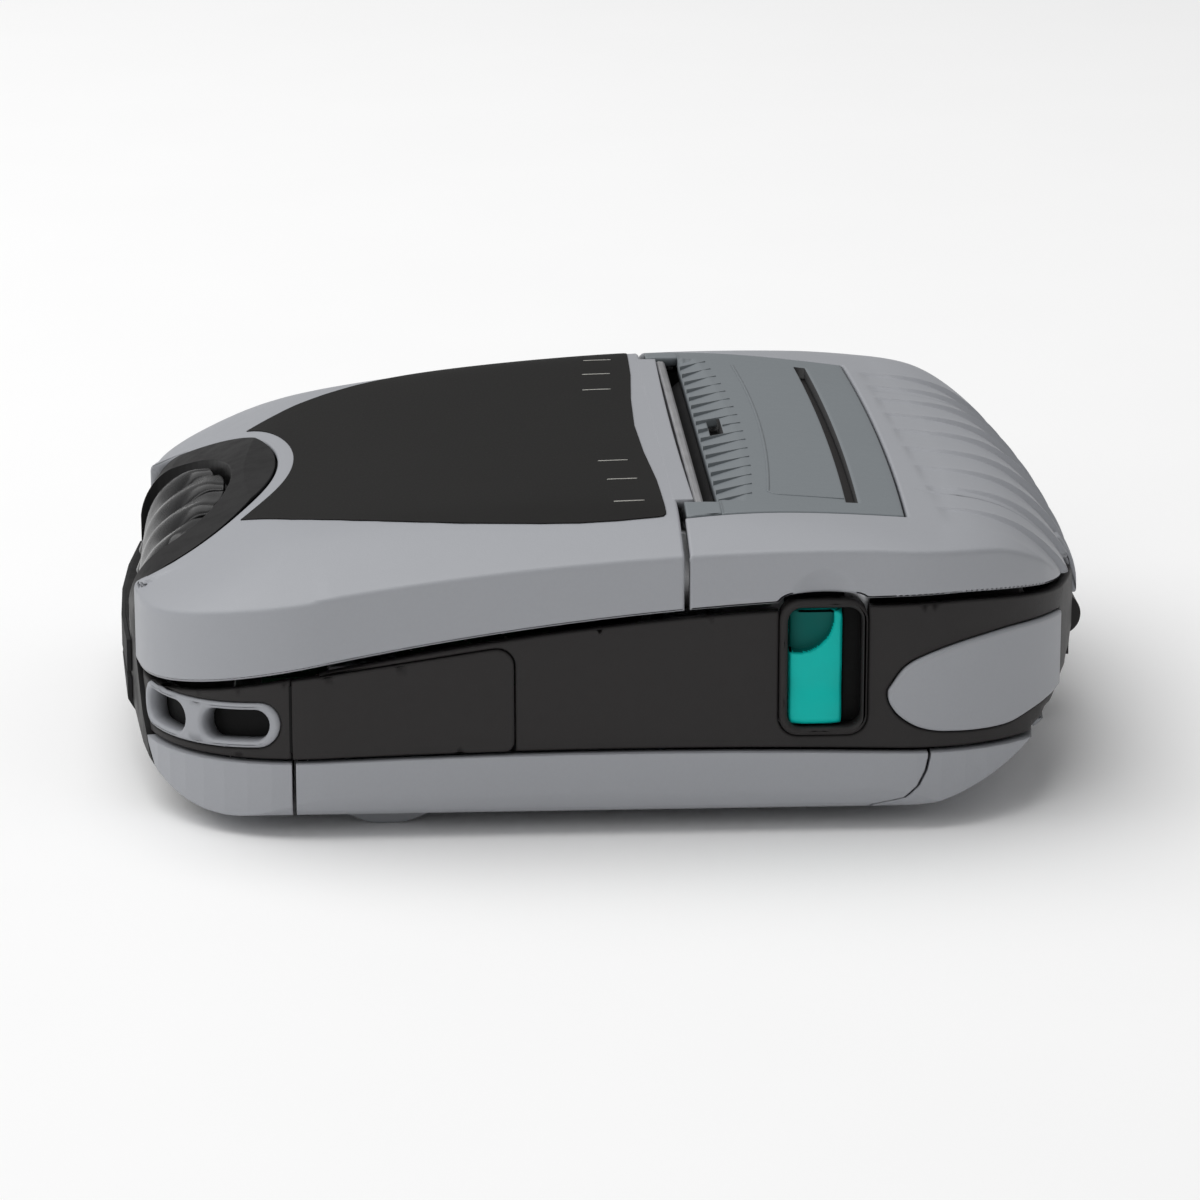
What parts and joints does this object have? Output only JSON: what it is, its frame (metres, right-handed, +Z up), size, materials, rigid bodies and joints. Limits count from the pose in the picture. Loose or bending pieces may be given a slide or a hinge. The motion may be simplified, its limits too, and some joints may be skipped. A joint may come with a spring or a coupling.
{
  "type": "mobile receipt printer",
  "caption": "Mobile receipt printer: arched case with sloped shoulders, rolling key panel, side latch, port door, strap eyelets and a hinged lid over a media bay with platen.",
  "frame": {"origin": "centre of the overall box at the ground", "axes": "+X along the case from the key panel to the lid hinge, +Y across, +Z up"},
  "size_m": [0.1316, 0.112, 0.0405],
  "materials": {
    "case_gray": "fine moulded grain",
    "panel_gray": "satin moulded",
    "band_black": "fine moulded grain",
    "film_black": "matt speckled film",
    "key_gloss": "glossy",
    "latch_teal": "semi gloss",
    "rubber_black": "matt rubber",
    "steel": "brushed",
    "tear_metal": "satin",
    "board_green": "solder mask",
    "chip_black": "matt",
    "gear_white": "acetal",
    "contact_gold": "gold plated",
    "head_ceramic": "dark glazed ceramic",
    "flex_amber": "film",
    "cell_wrap": "shrink wrap",
    "buzzer_black": "matt"
  },
  "bodies": {
    "chassis": {"front_cover": "case_gray", "cover_label": "film_black", "front_bezel": "band_black", "keypad_plate": "rubber_black", "front_bumper": "rubber_black", "side_band_left": "band_black", "side_band_right": "band_black", "strap_loop_left": "case_gray", "strap_loop_right": "case_gray", "front_base": "case_gray", "middle_base": "case_gray", "rear_base": "case_gray", "side_inset_left": "case_gray", "side_inset_right": "case_gray", "hinge_housing": "band_black", "hinge_pin": "steel", "tear_bar": "tear_metal", "latch_bezel": "band_black", "printhead": "head_ceramic", "head_bracket": "steel", "head_springs": "steel", "head_flex": "flex_amber", "side_plates": "steel", "stepper_motor": "steel", "motor_bracket": "steel", "media_tray": "band_black", "main_board": "board_green", "radio_card": "board_green", "keypad_board": "board_green", "battery_contacts": "contact_gold", "buzzer": "buzzer_black", "data_port": "steel", "power_jack": "chip_black", "latch_spring": "steel", "case_screws": "steel", "rear_feet": "rubber_black", "door_pin": "steel"},
    "battery": {"battery_case": "case_gray", "battery_cells": "cell_wrap"},
    "lid": {"lid_shell": "case_gray", "lid_insert": "panel_gray", "lid_liner": "band_black", "media_sensor": "chip_black", "platen_bearings": "gear_white", "lid_strike": "steel"},
    "platen": {"platen_roller": "rubber_black", "platen_shaft": "steel", "platen_gear": "gear_white"},
    "motor_rotor": {"motor_pinion": "steel"},
    "idler": {"idler_gear": "gear_white"},
    "guide_left": {"media_guide_left": "gear_white"},
    "guide_right": {"media_guide_right": "gear_white"},
    "guide_gear": {"guide_pinion": "gear_white"},
    "latch": {"latch_button": "latch_teal"},
    "hook": {"latch_hook": "steel"},
    "door": {"port_door": "band_black"},
    "key_a": {"key_1": "key_gloss"},
    "key_b": {"key_2": "key_gloss"},
    "key_c": {"key_3": "key_gloss"},
    "key_d": {"key_4": "key_gloss"}
  },
  "joints": [
    {"name": "lid_hinge", "type": "hinge", "parent": "chassis", "child": "lid", "pos_m": [0.0604, 0, 0.0196], "axis": [0, 1, 0], "range_deg": [0, 95]},
    {"name": "battery_slide", "type": "slide", "parent": "chassis", "child": "battery", "axis": [0, 0, -1], "range_m": [0, 0.03]},
    {"name": "platen_spin", "type": "hinge", "parent": "lid", "child": "platen", "pos_m": [0.0157, 0, 0.0332], "axis": [0, 1, 0], "continuous": true},
    {"name": "idler_spin", "type": "hinge", "parent": "chassis", "child": "idler", "pos_m": [0.0097, 0.049, 0.02281], "axis": [0, 1, 0], "continuous": true},
    {"name": "motor_spin", "type": "hinge", "parent": "chassis", "child": "motor_rotor", "pos_m": [-0.0002, 0.047, 0.0242], "axis": [0, 1, 0], "continuous": true},
    {"name": "guide_left_slide", "type": "slide", "parent": "chassis", "child": "guide_left", "axis": [0, 1, 0], "range_m": [0, 0.011]},
    {"name": "guide_right_slide", "type": "slide", "parent": "chassis", "child": "guide_right", "axis": [0, -1, 0], "range_m": [0, 0.0111]},
    {"name": "guide_gear_spin", "type": "hinge", "parent": "chassis", "child": "guide_gear", "pos_m": [0.0155, 0, 0.014], "axis": [1, 0, 0], "range_deg": [-255, 5]},
    {"name": "latch_press", "type": "slide", "parent": "chassis", "child": "latch", "axis": [0, 1, 0], "range_m": [0, 0.0015], "stiffness_N_per_m": 1200, "springref_m": -0.001, "deforming": ["latch_spring"]},
    {"name": "hook_turn", "type": "hinge", "parent": "chassis", "child": "hook", "pos_m": [0.0302, -0.0494, 0.0166], "axis": [-1, 0, 0], "range_deg": [0, 9]},
    {"name": "door_hinge", "type": "hinge", "parent": "chassis", "child": "door", "pos_m": [-0.0422, -0.0547, 0.016], "axis": [0, 0, -1], "range_deg": [0, 100]},
    {"name": "key_a_press", "type": "slide", "parent": "chassis", "child": "key_a", "axis": [0.7071, 0, -0.7071], "range_m": [0, 0.0005], "stiffness_N_per_m": 1000, "springref_m": -0.0005},
    {"name": "key_b_press", "type": "slide", "parent": "chassis", "child": "key_b", "axis": [0.7071, 0, -0.7071], "range_m": [0, 0.0005], "stiffness_N_per_m": 1000, "springref_m": -0.0005},
    {"name": "key_c_press", "type": "slide", "parent": "chassis", "child": "key_c", "axis": [0.7071, 0, -0.7071], "range_m": [0, 0.0005], "stiffness_N_per_m": 1000, "springref_m": -0.0005},
    {"name": "key_d_press", "type": "slide", "parent": "chassis", "child": "key_d", "axis": [0.7071, 0, -0.7071], "range_m": [0, 0.0005], "stiffness_N_per_m": 1000, "springref_m": -0.0005}
  ],
  "couplings": [
    {"joint": "idler_spin", "follows": "platen_spin", "ratio": -0.5},
    {"joint": "motor_spin", "follows": "platen_spin", "ratio": 2},
    {"joint": "guide_right_slide", "follows": "guide_left_slide", "ratio": 1},
    {"joint": "guide_gear_spin", "follows": "guide_left_slide", "rad_per_m": -400},
    {"joint": "hook_turn", "follows": "latch_press", "rad_per_m": 100}
  ]
}
